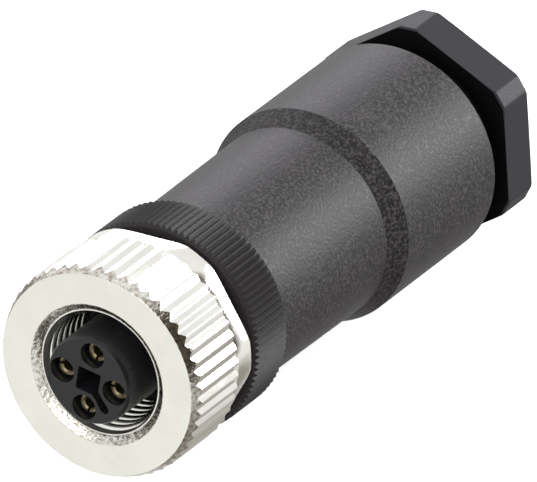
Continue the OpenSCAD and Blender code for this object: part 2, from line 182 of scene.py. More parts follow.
# %% Floor
floor_mesh = bpy.data.meshes.new("Floor")
FLOOR_HALF = 1.5
floor_level = cad_low.z
floor_mesh.from_pydata(
    [(x * FLOOR_HALF, y * FLOOR_HALF, floor_level) for x, y in ((-1, -1), (1, -1), (1, 1), (-1, 1))],
    [], [(0, 1, 2, 3)],
)
floor = bpy.data.objects.new("Floor", floor_mesh)
bpy.context.scene.collection.objects.link(floor)
floor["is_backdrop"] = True
paper = bpy.data.materials.new("White paper")
paper.use_nodes = True
sheet = paper.node_tree.nodes["Principled BSDF"]
sheet.inputs["Base Color"].default_value = (0.93, 0.93, 0.92, 1)
sheet.inputs["Roughness"].default_value = 0.9
sheet.inputs["Specular IOR Level"].default_value = 0.1
sheet.inputs["Emission Color"].default_value = (1, 1, 1, 1)
sheet.inputs["Emission Strength"].default_value = 0.55
floor_mesh.materials.append(paper)
floor.visible_glossy = False
floor.visible_diffuse = False
bpy.context.scene.view_settings.view_transform = "Standard"
print("floor at z in mm:", round(floor_level / MM, 2))

# %% [markdown]
# ## Rings and skins
#
# Nearly everything here is turned on a lathe or built round one axis. A piece is therefore
# drawn as rings of points, one behind the other along +Y, with a skin of quads between them.
# A ring may have a radius and a station that change with the angle, which is how flutes, run-
# outs and hexagons come about. Angles run from +X towards +Z.

# %% Ring helpers
def even(count, start=0.0):
    """Evenly spaced angles round the axis, in radians."""
    return start + np.arange(count) * 2 * math.pi / count


def ring(angles, radius, station):
    """Points round the axis; radius and station are single values or one for each angle, in mm."""
    radius = np.broadcast_to(np.asarray(radius, float), angles.shape)
    station = np.broadcast_to(np.asarray(station, float), angles.shape)
    return np.stack([radius * np.cos(angles), station, radius * np.sin(angles)], axis=1)


def skin(rings, closed=False):
    """Vertices and quads that join rings of equal size; closed also joins the last to the first."""
    count = len(rings[0])
    points = np.concatenate(rings)
    faces = []
    last = len(rings) if closed else len(rings) - 1
    for k in range(last):
        a, b = k * count, ((k + 1) % len(rings)) * count
        for j in range(count):
            i = (j + 1) % count
            faces.append((a + j, a + i, b + i, b + j))
    return points, faces


def fillet(before, corner, after, radius, steps=4):
    """Points (radius, station) of a rounded corner of a profile."""
    c = np.array(corner, float)
    u = np.array(before, float) - c
    v = np.array(after, float) - c
    u, v = u / np.linalg.norm(u), v / np.linalg.norm(v)
    half = math.acos(max(-1, min(1, float(u @ v)))) / 2
    reach = radius / math.tan(half)
    middle = c + (u + v) / np.linalg.norm(u + v) * radius / math.sin(half)
    first, last = c + u * reach - middle, c + v * reach - middle
    sweep = math.pi - 2 * half
    side = math.copysign(1, first[0] * last[1] - first[1] * last[0])
    turned = []
    for k in range(steps + 1):
        t = side * sweep * k / steps
        turned.append((
            middle[0] + first[0] * math.cos(t) - first[1] * math.sin(t),
            middle[1] + first[0] * math.sin(t) + first[1] * math.cos(t),
        ))
    return turned


def rounded(outline, radii, steps=4):
    """A closed profile of (radius, station) corners with a fillet at each; radius 0 stays sharp."""
    points = []
    for k, corner in enumerate(outline):
        r = radii[k] if k < len(radii) else 0
        if r:
            points += fillet(outline[k - 1], corner, outline[(k + 1) % len(outline)], r, steps)
        else:
            points.append(corner)
    return points


def piece(name, parts, body, material, stands_for=(), sharp_deg=32, merge=1e-7):
    """An object from (points in mm, faces) parts, riding on a body, with crisp edges kept."""
    mesh = bpy.data.meshes.new(name)
    points, faces, base = [], [], 0
    for p, f in parts:
        points.append(np.asarray(p, float))
        faces += [tuple(base + i for i in face) for face in f]
        base += len(p)
    mesh.from_pydata((np.concatenate(points) * MM).tolist(), [], faces)
    build = bmesh.new()
    build.from_mesh(mesh)
    bmesh.ops.remove_doubles(build, verts=build.verts, dist=merge)
    bmesh.ops.dissolve_degenerate(build, edges=build.edges, dist=merge)
    bmesh.ops.recalc_face_normals(build, faces=build.faces)
    for face in build.faces:
        face.smooth = True
    for edge in build.edges:
        edge.smooth = len(edge.link_faces) == 2 and edge.calc_face_angle(0) < math.radians(sharp_deg)
    open_edges = sum(len(e.link_faces) != 2 for e in build.edges)
    build.to_mesh(mesh)
    build.free()
    obj = bpy.data.objects.new(name, mesh)
    bpy.context.scene.collection.objects.link(obj)
    mesh.materials.append(material)
    even_out = obj.modifiers.new("Even normals", "WEIGHTED_NORMAL")
    even_out.keep_sharp = True
    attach(obj, body)
    if stands_for:
        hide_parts(*stands_for)
    print(f"{name}: {len(mesh.polygons)} faces, {open_edges} open edges")
    return obj

# %% [markdown]
# ## Finishes
#
# Each finish is built from nodes. Nickel plating is a nearly clean mirror with faint clouds in
# its polish. The two turned cones of the nut carry chatter marks in their relief and a painted
# reflection in their colour: a mottled dark brown that stands for the dark surroundings they
# mirror. Both are found from a point's place alone. The housing comes out of a spark-eroded
# mould: its skin is full of pits that catch the light one by one, so both its colour and its
# relief follow a fine noise. The smooth mouldings get a much finer, flatter version of the same
# idea.

# %% Finish helpers
def new_finish(name, roughness, metallic=0.0):
    """A material and its parts: the tree's nodes, its links and the main shader."""
    mat = bpy.data.materials.new(name)
    mat.use_nodes = True
    tree = mat.node_tree
    shader = tree.nodes["Principled BSDF"]
    shader.inputs["Metallic"].default_value = metallic
    shader.inputs["Roughness"].default_value = roughness
    return mat, tree.nodes, tree.links, shader


def grain_of(nodes, links, per_mm, detail=2.0, stretch=(1, 1, 1)):
    """A noise in the part's own space, with about so many grains in a millimetre."""
    place = nodes.new("ShaderNodeTexCoord")
    scale = nodes.new("ShaderNodeMapping")
    scale.inputs["Scale"].default_value = [s * per_mm / MM for s in stretch]
    grain = nodes.new("ShaderNodeTexNoise")
    grain.inputs["Scale"].default_value = 1.0
    grain.inputs["Detail"].default_value = detail
    links.new(place.outputs["Object"], scale.inputs["Vector"])
    links.new(scale.outputs["Vector"], grain.inputs["Vector"])
    return grain.outputs["Fac"]


def ramp(nodes, links, source, stops):
    """Colours along a value, as (position, (r, g, b)) stops."""
    node = nodes.new("ShaderNodeValToRGB")
    elements = node.color_ramp.elements
    while len(elements) < len(stops):
        elements.new(0.5)
    for element, (position, colour) in zip(elements, stops):
        element.position = position
        element.color = (*colour, 1)
    links.new(source, node.inputs["Fac"])
    return node.outputs["Color"]


def span(nodes, links, source, low, high):
    """A value moved from 0.35..0.65, where a noise mostly lies, to low..high."""
    node = nodes.new("ShaderNodeMapRange")
    node.inputs["From Min"].default_value = 0.35
    node.inputs["From Max"].default_value = 0.65
    node.inputs["To Min"].default_value = low
    node.inputs["To Max"].default_value = high
    links.new(source, node.inputs["Value"])
    return node.outputs["Result"]


def relief(nodes, links, source, shader, depth_mm, strength=1.0):
    """Bumps of that depth on the shader."""
    node = nodes.new("ShaderNodeBump")
    node.inputs["Distance"].default_value = depth_mm * MM
    node.inputs["Strength"].default_value = strength
    links.new(source, node.inputs["Height"])
    links.new(node.outputs["Normal"], shader.inputs["Normal"])


def mixed(nodes, links, a, b, share):
    """Two colours mixed by a value."""
    node = nodes.new("ShaderNodeMix")
    node.data_type = "RGBA"
    links.new(share, node.inputs["Factor"])
    links.new(a, node.inputs["A"])
    links.new(b, node.inputs["B"])
    return node.outputs["Result"]


def figure(nodes, links, operation, *terms):
    """A calculation in nodes; each term is a number or the output of another node."""
    node = nodes.new("ShaderNodeMath")
    node.operation = operation
    for socket, term in zip(node.inputs, terms):
        if isinstance(term, (int, float)):
            socket.default_value = term
        else:
            links.new(term, socket)
    return node.outputs[0]


def place_of(nodes, links):
    """How far a point lies from the axis, and its station along it, both in mm."""
    place = nodes.new("ShaderNodeTexCoord")
    flat = nodes.new("ShaderNodeVectorMath")
    flat.operation = "MULTIPLY"
    flat.inputs[1].default_value = (1 / MM, 0, 1 / MM)
    away = nodes.new("ShaderNodeVectorMath")
    away.operation = "LENGTH"
    split = nodes.new("ShaderNodeSeparateXYZ")
    links.new(place.outputs["Object"], flat.inputs[0])
    links.new(flat.outputs["Vector"], away.inputs[0])
    links.new(place.outputs["Object"], split.inputs[0])
    return away.outputs["Value"], figure(nodes, links, "DIVIDE", split.outputs["Y"], MM)


def on_cone(nodes, links, radius, station, start_r, start_y, slope, reach):
    """1 on a cone that leaves (start_r, start_y) with a slope of station over radius, else 0."""
    rise = figure(nodes, links, "MULTIPLY", figure(nodes, links, "SUBTRACT", radius, start_r), slope)
    miss = figure(nodes, links, "SUBTRACT", figure(nodes, links, "SUBTRACT", station, start_y), rise)
    close = figure(nodes, links, "COMPARE", miss, 0.0, 0.045)
    return figure(nodes, links, "MULTIPLY", close,
                  figure(nodes, links, "LESS_THAN", station, start_y + reach))


# %% Nickel plating
NUT_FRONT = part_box("coupling_nut")[0].y / MM
FRONT_R, TIP_R, BEVEL = 9.6, 10.1, 1.05
MOUTH_R, MAJOR_R, MOUTH_DEPTH = 6.675, 6.0, 0.574
nickel, nodes, links, shader = new_finish("Nickel plating", 0.12, metallic=1.0)
cloud = grain_of(nodes, links, 0.35, detail=4)
clean = ramp(nodes, links, cloud, [(0.3, (0.82, 0.81, 0.76)), (0.7, (0.89, 0.88, 0.83))])
radius, station = place_of(nodes, links)
outer = on_cone(nodes, links, radius, station, FRONT_R, NUT_FRONT, BEVEL / (TIP_R - FRONT_R), BEVEL)
inner = on_cone(nodes, links, radius, station, MOUTH_R, NUT_FRONT, -MOUTH_DEPTH / (MOUTH_R - MAJOR_R),
                MOUTH_DEPTH)
# painted reflection: on both cones the colour turns to a mottled dark brown that stands for the dark
# surroundings they mirror; the same mask also carries the chatter relief
chatter_and_painted_reflection = figure(nodes, links, "MAXIMUM", outer, inner)
chips_and_painted_mottle = grain_of(nodes, links, 2.4, detail=4)
painted_reflection_share = figure(nodes, links, "MULTIPLY", chatter_and_painted_reflection, span(nodes, links, chips_and_painted_mottle, 0.75, 0.0))
painted_brown_reflection = ramp(nodes, links, chips_and_painted_mottle, [(0.3, (0.20, 0.15, 0.10)), (0.7, (0.50, 0.45, 0.36))])
links.new(mixed(nodes, links, clean, painted_brown_reflection, painted_reflection_share), shader.inputs["Base Color"])
links.new(span(nodes, links, cloud, 0.09, 0.15), shader.inputs["Roughness"])
skin_marks = figure(nodes, links, "MULTIPLY", grain_of(nodes, links, 7, detail=3), 0.025)
relief(nodes, links,
       figure(nodes, links, "ADD", skin_marks, figure(nodes, links, "MULTIPLY", chatter_and_painted_reflection, chips_and_painted_mottle)),
       shader, 0.09)

# %% Grained housing
SHEEN = 0.36
grained, nodes, links, shader = new_finish("Grained moulding", 0.5)
pits = grain_of(nodes, links, 3.6, detail=5)
cool = ramp(nodes, links, pits, [(0.40, (0.008, 0.0075, 0.0085)), (0.5, (0.022, 0.021, 0.023)),
                                 (0.62, (0.066, 0.064, 0.067))])
warm = ramp(nodes, links, pits, [(0.40, (0.010, 0.0075, 0.0090)), (0.5, (0.026, 0.021, 0.025)),
                                 (0.62, (0.071, 0.062, 0.070))])
shader.inputs["Specular IOR Level"].default_value = SHEEN
links.new(mixed(nodes, links, cool, warm, grain_of(nodes, links, 0.12)), shader.inputs["Base Color"])
links.new(span(nodes, links, pits, 0.42, 0.62), shader.inputs["Roughness"])
relief(nodes, links, pits, shader, 0.05)


# %% Smooth mouldings, rubber and metal
PAINTED_SHADE_OUTSIDE = 7.95


def moulded(name, dark, light, roughness, per_mm=9.0, depth=0.004, specular=SHEEN, painted_shade_until=None):
    """A plain moulding with a fine skin; beyond its neck, up to the given station, painted shade turns it
    almost black and less shiny.
    """
    mat, nodes, links, shader = new_finish(name, roughness)
    shader.inputs["Specular IOR Level"].default_value = specular
    skin_grain = grain_of(nodes, links, per_mm, detail=3)
    colour = ramp(nodes, links, skin_grain, [(0.35, dark), (0.65, light)])
    if painted_shade_until is not None:
        # painted shade: outside the neck and in front of the station the colour turns almost black and the
        # shine drops, where the housing shades the front face of the hexagon
        radius, station = place_of(nodes, links)
        dark_marks_and_painted_shade = figure(nodes, links, "MULTIPLY", figure(nodes, links, "LESS_THAN", station, painted_shade_until),
                      figure(nodes, links, "GREATER_THAN", radius, PAINTED_SHADE_OUTSIDE))
        painted_shade_colour = ramp(nodes, links, skin_grain, [(0.35, (0.004, 0.004, 0.004)), (0.65, (0.007, 0.007, 0.007))])
        colour = mixed(nodes, links, colour, painted_shade_colour, dark_marks_and_painted_shade)
        links.new(figure(nodes, links, "SUBTRACT", specular, figure(nodes, links, "MULTIPLY", dark_marks_and_painted_shade, 0.3)),
                  shader.inputs["Specular IOR Level"])
    links.new(colour, shader.inputs["Base Color"])
    links.new(span(nodes, links, skin_grain, roughness - 0.05, roughness + 0.07),
              shader.inputs["Roughness"])
    relief(nodes, links, skin_grain, shader, depth)
    return mat


HEX_LENGTH = 4.1
HEX_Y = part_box("pressing_screw")[1].y / MM - HEX_LENGTH
insert_black = moulded("Black insert", (0.009, 0.009, 0.011), (0.015, 0.015, 0.018), 0.3)
collar_black = moulded("Black collar", (0.018, 0.016, 0.016), (0.032, 0.029, 0.029), 0.5, specular=0.2)
# painted shade on the front face of the hexagon, up to the station given here
screw_grey = moulded("Blue-grey moulding", (0.019, 0.020, 0.025), (0.029, 0.030, 0.037), 0.5,
                     specular=0.25, painted_shade_until=HEX_Y + 0.01)
block_black = moulded("Rear insulator", (0.03, 0.03, 0.031), (0.045, 0.045, 0.047), 0.5)
cage_black = moulded("Clamp cage", (0.025, 0.025, 0.026), (0.04, 0.04, 0.041), 0.48)
cord_rubber = moulded("Seal rubber", (0.010, 0.010, 0.010), (0.02, 0.02, 0.02), 0.62, 5.0, 0.006)
gland_rubber = moulded("Gland rubber", (0.014, 0.014, 0.015), (0.028, 0.028, 0.029), 0.7, 4.0, 0.01)


def plated(name, dark_marks_and_painted_shade, bright, roughness):
    """A turned and plated metal, with turning marks along its length."""
    mat, nodes, links, shader = new_finish(name, roughness, metallic=1.0)
    marks = grain_of(nodes, links, 12.0, detail=2, stretch=(0.15, 1, 0.15))
    links.new(ramp(nodes, links, marks, [(0.35, dark_marks_and_painted_shade), (0.65, bright)]), shader.inputs["Base Color"])
    links.new(span(nodes, links, marks, roughness - 0.06, roughness + 0.08), shader.inputs["Roughness"])
    relief(nodes, links, marks, shader, 0.003)
    return mat


gold = plated("Gold plating", (0.28, 0.23, 0.13), (0.36, 0.31, 0.20), 0.4)
steel = plated("Plated steel", (0.55, 0.55, 0.54), (0.72, 0.72, 0.70), 0.3)
print("finishes:", sorted(m.name for m in bpy.data.materials))

# %% [markdown]
# ## Coupling nut
#
# The nut is the showpiece. Fifty shallow V grooves run along it. They end in a zigzag on the
# front bevel and against a wall at the plain rear band, whose section is a rounded hexagon.
# The trick is to let the rings of the mesh bend: the ring between bevel and knurl lies exactly
# where each flank of a groove meets the cone, so the zigzag is as crisp as on the real nut.

# %% Groove and hexagon sections
def tooth_angles(count, samples, crest_angle):
    """Angles round a knurl, closer together at crests and roots, and the place in each tooth."""
    half = np.array(samples)
    place = np.concatenate([half, -half[1:-1][::-1]])
    place = np.where(place < 0, place + 1, place)
    tooth = np.repeat(np.arange(count), len(place))
    place = np.tile(place, count)
    return crest_angle + (tooth + place) * 2 * math.pi / count, place


def groove_depth(place, crispness):
    """0 at a crest and 1 at a root, in straight flanks with a small rounding."""
    wave = np.arcsin(crispness * np.cos(2 * math.pi * place)) / math.asin(crispness)
    return 0.5 - 0.5 * wave


def hexagon(angles, flat, across_flats, corner_d, blend):
    """Radius of a hexagon with turned corners; blend sets how tight its edges are."""
    away = (angles - flat + math.pi / 6) % (math.pi / 3) - math.pi / 6
    side = across_flats / 2 / np.cos(away)
    least = np.minimum(side, corner_d / 2)
    return least * ((least / side) ** blend + (2 * least / corner_d) ** blend) ** (-1 / blend)


# %% Nut outside
NUT_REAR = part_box("coupling_nut")[1].y / MM
GROOVE = 0.25
BAND_Y = NUT_REAR - 2.4
BAND_AF, BAND_D, BAND_FLAT = 18.8, 20.1, math.radians(-2)
MINOR_R = 5.459
FLANGE_R = MINOR_R - 0.16
INSERT_NECK_R = FLANGE_R - 0.7
NECK_R = INSERT_NECK_R + 0.05
MOUTH_Y, FLOOR_Y = NUT_FRONT + MOUTH_DEPTH, NUT_REAR - 1.05
TEETH = 50

half_tooth = [0, 0.035, 0.08, 0.25, 0.42, 0.465, 0.5]
nut_angles, place = tooth_angles(TEETH, half_tooth, math.radians(-5.2))
flank = TIP_R - GROOVE * groove_depth(place, 0.99)
runout = NUT_FRONT + (flank - FRONT_R) / (TIP_R - FRONT_R) * BEVEL
band = hexagon(nut_angles, BAND_FLAT, BAND_AF, BAND_D, 45)


def nut_ring(radius, station):
    return ring(nut_angles, radius, station)


EDGE = 0.07
rows = [nut_ring(r, y) for r, y in
        fillet((8, NUT_FRONT), (FRONT_R, NUT_FRONT), (TIP_R, NUT_FRONT + BEVEL), EDGE)]
start_r, start_y = FRONT_R + 0.03, NUT_FRONT + 0.063
for k in (0.35, 0.7, 1.0):
    rows.append(nut_ring(start_r + (flank - start_r) * k, start_y + (runout - start_y) * k))
rows += [nut_ring(flank, runout + (BAND_Y - runout) * k) for k in (0.04, 0.25, 0.5, 0.75, 1.0)]
lip = 0.05
rows.append(nut_ring(np.minimum(flank, band - lip), BAND_Y))
rows.append(nut_ring(band - lip, BAND_Y))
rows.append(nut_ring(band - lip * 0.3, BAND_Y + lip * 0.3))
rows.append(nut_ring(band, BAND_Y + lip))
rows.append(nut_ring(band, NUT_REAR - 0.34))
rows.append(nut_ring(np.minimum(band, BAND_D / 2 - 0.02), NUT_REAR - 0.27))
rows.append(nut_ring(np.minimum(band - 0.01, BAND_D / 2 - 0.11), NUT_REAR - 0.07))
rows.append(nut_ring(np.minimum(band - 0.03, BAND_D / 2 - 0.14), NUT_REAR - 0.02))
rows.append(nut_ring(np.minimum(band - 0.08, BAND_D / 2 - 0.2), NUT_REAR))
rows += [nut_ring(r, y) for r, y in fillet((8, NUT_REAR), (NECK_R, NUT_REAR), (NECK_R, FLOOR_Y), 0.15)]
rows.append(nut_ring(NECK_R, FLOOR_Y))
nut_outside = skin(rows)
print("nut outside:", len(nut_outside[1]), "faces")

# %% [markdown]
# The bore has a true 12 mm by 1 mm thread. A cross-section of one turn is swept along a helix,
# and each turn is sewn to the next. It starts behind a narrow flat ledge, which is the thin
# bright line inside the mouth. Where the thread would pass the ledge or the floor behind, its
# points are pressed onto those edges, and points that then coincide are merged. The outside has
# three times as many points round it as the bore, so a band on each end face is zipped from
# triangles.

# %% Threads
def thread(count, start, crest_r, root_r, pitch, low, high, limit=None, fade=(0, 0.6)):
    """A right-hand helical thread between two stations; limit(station) trims it to a bevel."""
    shape = [(0.0, 0), (0.09, 0), (0.135, 0.05), (0.27, 0.45), (0.4, 0.93), (0.45, 1),
             (0.55, 1), (0.6, 0.93), (0.73, 0.45), (0.865, 0.05), (0.91, 0)]
    size = len(shape)
    steps = (math.ceil((high - low) / pitch) + 2) * count
    i = np.arange(steps)
    angle = start - 2 * math.pi * i / count
    points = np.zeros((steps, size, 3))
    for m, (along, depth) in enumerate(shape):
        station = np.clip(low - pitch + (i / count + along) * pitch, low, high)
        share = np.full(steps, float(depth))
        if fade[0]:
            share *= np.clip((station - low) / fade[0], 0, 1)
        if fade[1]:
            share *= np.clip((high - station) / fade[1], 0, 1)
        radius = crest_r + (root_r - crest_r) * share
        if limit:
            trim = np.maximum if root_r > crest_r else np.minimum
            radius = trim(radius, limit(station))
        points[:, m] = np.stack([radius * np.cos(angle), station, radius * np.sin(angle)], axis=1)
    faces = []
    for k in range(steps - 1):
        for m in range(size):
            a, d = k * size + m, (k + 1) * size + m
            if m + 1 < size:
                faces.append((a, a + 1, d + 1, d))
            elif k + 1 + count < steps:
                faces.append((a, (k + count) * size, (k + 1 + count) * size, d))
    return points.reshape(-1, 3), faces


def zipped(angles_a, radius_a, station_a, angles_b, radius_b, station_b):
    """A band of triangles between two rings of different counts, whose angles rise alike."""
    points = np.concatenate([ring(angles_a, radius_a, station_a), ring(angles_b, radius_b, station_b)])
    a, b, faces = 0, 0, []
    count_a, count_b = len(angles_a), len(angles_b)
    full = 2 * math.pi
    while a < count_a or b < count_b:
        next_a = angles_a[(a + 1) % count_a] + full * ((a + 1) // count_a)
        next_b = angles_b[(b + 1) % count_b] + full * ((b + 1) // count_b)
        here_a, here_b = a % count_a, count_a + b % count_b
        if b >= count_b or (a < count_a and next_a <= next_b):
            faces.append((here_a, (a + 1) % count_a, here_b))
            a += 1
        else:
            faces.append((here_a, count_a + (b + 1) % count_b, here_b))
            b += 1
    return points, faces


# %% Nut bore and assembly
LEDGE_R = MAJOR_R - 0.14


def countersink(station):
    return LEDGE_R - (station - MOUTH_Y)


bore_angles = nut_angles[::3]
front_edge = rows[0][0]
front_edge_r = math.hypot(front_edge[0], front_edge[2])
FACE_JOINT_R, FLOOR_JOINT_R = 8.4, 5.0
mouth = fillet((8, NUT_FRONT), (MOUTH_R, NUT_FRONT), (MAJOR_R, MOUTH_Y), 0.06)
bore_rows = [ring(bore_angles, FACE_JOINT_R, NUT_FRONT), ring(bore_angles, 7.2, NUT_FRONT)]
bore_rows += [ring(bore_angles, r, y) for r, y in mouth]
bore_rows += [ring(bore_angles, MAJOR_R, MOUTH_Y), ring(bore_angles, LEDGE_R, MOUTH_Y)]
piece(
    "coupling_nut_plated",
    [
        nut_outside,
        zipped(nut_angles, front_edge_r, NUT_FRONT, bore_angles, FACE_JOINT_R, NUT_FRONT),
        skin(bore_rows),
        thread(len(bore_angles), nut_angles[0], MINOR_R, MAJOR_R, 1.0, MOUTH_Y, FLOOR_Y, countersink,
               fade=(0.25, 0.6)),
        skin([ring(bore_angles, MINOR_R, FLOOR_Y), ring(bore_angles, FLOOR_JOINT_R, FLOOR_Y)]),
        zipped(nut_angles, NECK_R, FLOOR_Y, bore_angles, FLOOR_JOINT_R, FLOOR_Y),
    ],
    "coupling_nut", nickel, ["coupling_nut"], merge=2e-7,
)

# %% [markdown]
# ## Knurled collar
#
# The collar is a black moulding with a hundred fine grooves, twice as many as the nut. They
# run out on a small bevel at either end. Behind it a threaded spigot, with a groove for a
# sealing ring, screws into the housing, and shows only when the two are unscrewed.

# %% Collar
collar_low, collar_high = (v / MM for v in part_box("knurled_collar"))
COLLAR_Y, COLLAR_END, SPIGOT_END = collar_low.y, collar_low.y + 5.35, collar_high.y
COLLAR_R, COLLAR_GROOVE, RIM_R, COLLAR_BEVEL = 10.0, 0.3, 9.6, 0.4
COLLAR_TEETH = 100
SPIGOT_R, SPIGOT_ROOT_R, RING_GROOVE_R = 7.85, 7.35, 7.0
RING_GROOVE_Y, RING_GROOVE_END = COLLAR_END + 0.35, COLLAR_END + 1.75
COLLAR_BORE_R, BLOCK_BORE_R, BLOCK_Y = INSERT_NECK_R + 0.02, 6.22, COLLAR_Y + 3.1

collar_angles, place = tooth_angles(COLLAR_TEETH, [0, 0.07, 0.25, 0.43, 0.5], math.radians(-0.9))
collar_flank = COLLAR_R - COLLAR_GROOVE * groove_depth(place, 0.985)
reach = (collar_flank - RIM_R) / (COLLAR_R - RIM_R) * COLLAR_BEVEL


def collar_ring(radius, station):
    return ring(collar_angles, radius, station)


soft = 0.06
collar_rows = [collar_ring(r, y) for r, y in
               fillet((8, COLLAR_Y), (RIM_R, COLLAR_Y), (COLLAR_R, COLLAR_Y + COLLAR_BEVEL), soft)]
collar_rows += [
    collar_ring(RIM_R + (collar_flank - RIM_R) * k, COLLAR_Y + reach * k) for k in (0.45, 1.0)
]
body_top, body_end = COLLAR_Y + reach, COLLAR_END - reach
collar_rows += [collar_ring(collar_flank, body_top + (body_end - body_top) * k) for k in (0.03, 0.5, 0.97)]
collar_rows += [
    collar_ring(RIM_R + (collar_flank - RIM_R) * k, COLLAR_END - reach * k) for k in (1.0, 0.45)
]
collar_rows += [collar_ring(r, y) for r, y in
                fillet((COLLAR_R, COLLAR_END - COLLAR_BEVEL), (RIM_R, COLLAR_END), (8, COLLAR_END), soft)]
collar_rows.append(collar_ring(8.6, COLLAR_END))

# %% Spigot and collar assembly
def spigot_bevel(station):
    return SPIGOT_ROOT_R + (SPIGOT_END - station)


def rows_of(angles, profile):
    return [ring(angles, r, y) for r, y in profile]


spigot_angles = even(160, collar_angles[0])
JOINT_R = 8.6
inside = [(JOINT_R, COLLAR_Y)]
inside += fillet((8, COLLAR_Y), (COLLAR_BORE_R, COLLAR_Y), (COLLAR_BORE_R, BLOCK_Y), 0.15)
inside += [(COLLAR_BORE_R, BLOCK_Y), (BLOCK_BORE_R, BLOCK_Y), (BLOCK_BORE_R, SPIGOT_END),
           (SPIGOT_ROOT_R, SPIGOT_END)]
behind = [
    (SPIGOT_R, RING_GROOVE_END), (RING_GROOVE_R, RING_GROOVE_END), (RING_GROOVE_R, RING_GROOVE_Y),
    (SPIGOT_R, RING_GROOVE_Y), (SPIGOT_R, COLLAR_END), (JOINT_R, COLLAR_END),
]
front_rim = math.hypot(collar_rows[0][0][0], collar_rows[0][0][2])
rear_rim = math.hypot(collar_rows[-1][0][0], collar_rows[-1][0][2])
piece(
    "knurled_collar_moulded",
    [
        skin(collar_rows),
        zipped(collar_angles, front_rim, COLLAR_Y, spigot_angles, JOINT_R, COLLAR_Y),
        skin(rows_of(spigot_angles, inside)),
        thread(160, spigot_angles[0], SPIGOT_R, SPIGOT_ROOT_R, 1.0, RING_GROOVE_END, SPIGOT_END,
               spigot_bevel, fade=(0.6, 0)),
        skin(rows_of(spigot_angles, behind)),
        zipped(collar_angles, rear_rim, COLLAR_END, spigot_angles, JOINT_R, COLLAR_END),
    ],
    "contact_carrier", collar_black, ["knurled_collar"], merge=2e-7,
)

# %% [markdown]
# ## Contact insert
#
# The insert is one black moulding: a stub with four round holes, a square recess in its face
# and a slot that leads out of the recess. Its shape is turned first, and then the holes are
# cut with tools that flare at the mouth. A flared tool leaves a rounded rim, and such rims
# are what the light picks out on a dark face.

# %% Cutting tools
def solid(name, points, faces):
    mesh = bpy.data.meshes.new(name)
    mesh.from_pydata(np.asarray(points).tolist(), [], faces)
    build = bmesh.new()
    build.from_mesh(mesh)
    bmesh.ops.remove_doubles(build, verts=build.verts, dist=1e-5)
    bmesh.ops.recalc_face_normals(build, faces=build.faces)
    build.to_mesh(mesh)
    build.free()
    obj = bpy.data.objects.new(name, mesh)
    bpy.context.scene.collection.objects.link(obj)
    return obj


def turned(angles, profile):
    """A closed solid of revolution from (radius, station) points, with flat ends."""
    points, faces = skin(rows_of(angles, profile))
    count = len(angles)
    faces.append(tuple(range(count)))
    faces.append(tuple(range(len(points) - count, len(points))))
    return points, faces


def cut(base, tools):
    """The base part with every tool taken away, as points in mm and faces."""
    block = solid("block", *base)
    made = [block]
    for k, tool in enumerate(tools):
        cutter = solid(f"tool {k}", *tool)
        made.append(cutter)
        step = block.modifiers.new(f"cut {k}", "BOOLEAN")
        step.operation, step.solver, step.object = "DIFFERENCE", "EXACT", cutter
    graph = bpy.context.evaluated_depsgraph_get()
    mesh = bpy.data.meshes.new_from_object(block.evaluated_get(graph))
    points = np.array([v.co for v in mesh.vertices])
    faces = [tuple(p.vertices) for p in mesh.polygons]
    for obj in made:
        bpy.data.objects.remove(obj)
    bpy.data.meshes.remove(mesh)
    return points, faces


# %% Insert
INSERT_R, SEAT_R = 4.15, MINOR_R - 1.11
FLANGE_Y, NECK_Y = 8.9, 9.7
CONTACT_R, HOLE_R, HOLE_WALL = 2.665, 1.15, 0.4
CONTACT_TURN, SLOT_TURN = math.radians(17), math.radians(-28.5)
RECESS_REACH, RECESS_DEPTH, SLOT_HALF, SLOT_END = 1.56, 3.0, 0.375, 3.25
insert_angles = even(160)
stub = fillet((3, 0), (3.95, 0), (INSERT_R, 0.35), 0.1)
stub += fillet((3.95, 0), (INSERT_R, 0.35), (INSERT_R, 3), 0.1)
stub += [(INSERT_R, 7.6), (SEAT_R, 7.9), (SEAT_R, FLANGE_Y), (FLANGE_R, FLANGE_Y), (FLANGE_R, NECK_Y),
         (INSERT_NECK_R, NECK_Y), (INSERT_NECK_R, BLOCK_Y)]

contact_places = [CONTACT_TURN - math.pi / 2 * k for k in range(4)]
RIM = 0.13
hole_profile = [(HOLE_R + RIM, -0.3)]
hole_profile += fillet((HOLE_R + 0.4, 0.0), (HOLE_R, 0.0), (HOLE_R, 2), RIM, 5)
hole_profile += [(HOLE_R, 14.21), (1.52, 14.21), (1.52, BLOCK_Y + 0.5)]
hole_tools = []
for turn_to in contact_places:
    points, faces = turned(even(64), hole_profile)
    shift = np.array([CONTACT_R * math.cos(turn_to), 0, CONTACT_R * math.sin(turn_to)])
    hole_tools.append((points + shift, faces))


def recess_radius(angle):
    """How far the recess reaches from the axis in a direction."""
    corner = (angle - CONTACT_TURN) % (math.pi / 2) - math.pi / 4
    square = RECESS_REACH * math.cos(math.pi / 4) / math.cos(math.pi / 4 - abs(corner))
    off = (angle - SLOT_TURN + math.pi) % (2 * math.pi) - math.pi
    slot = 0.0
    if abs(off) < math.pi / 2:
        slot = SLOT_HALF / max(abs(math.sin(off)), 1e-6)
        middle = SLOT_END - SLOT_HALF
        if slot * math.cos(off) > middle:
            across = middle * math.sin(off)
            slot = middle * math.cos(off) + math.sqrt(max(SLOT_HALF ** 2 - across ** 2, 0))
    reach = max(square, slot)
    for place_at in contact_places:
        gap = angle - place_at
        across = CONTACT_R * math.sin(gap)
        wall = HOLE_R + HOLE_WALL
        if math.cos(gap) > 0 and abs(across) < wall:
            reach = min(reach, CONTACT_R * math.cos(gap) - math.sqrt(wall ** 2 - across ** 2))
    return reach


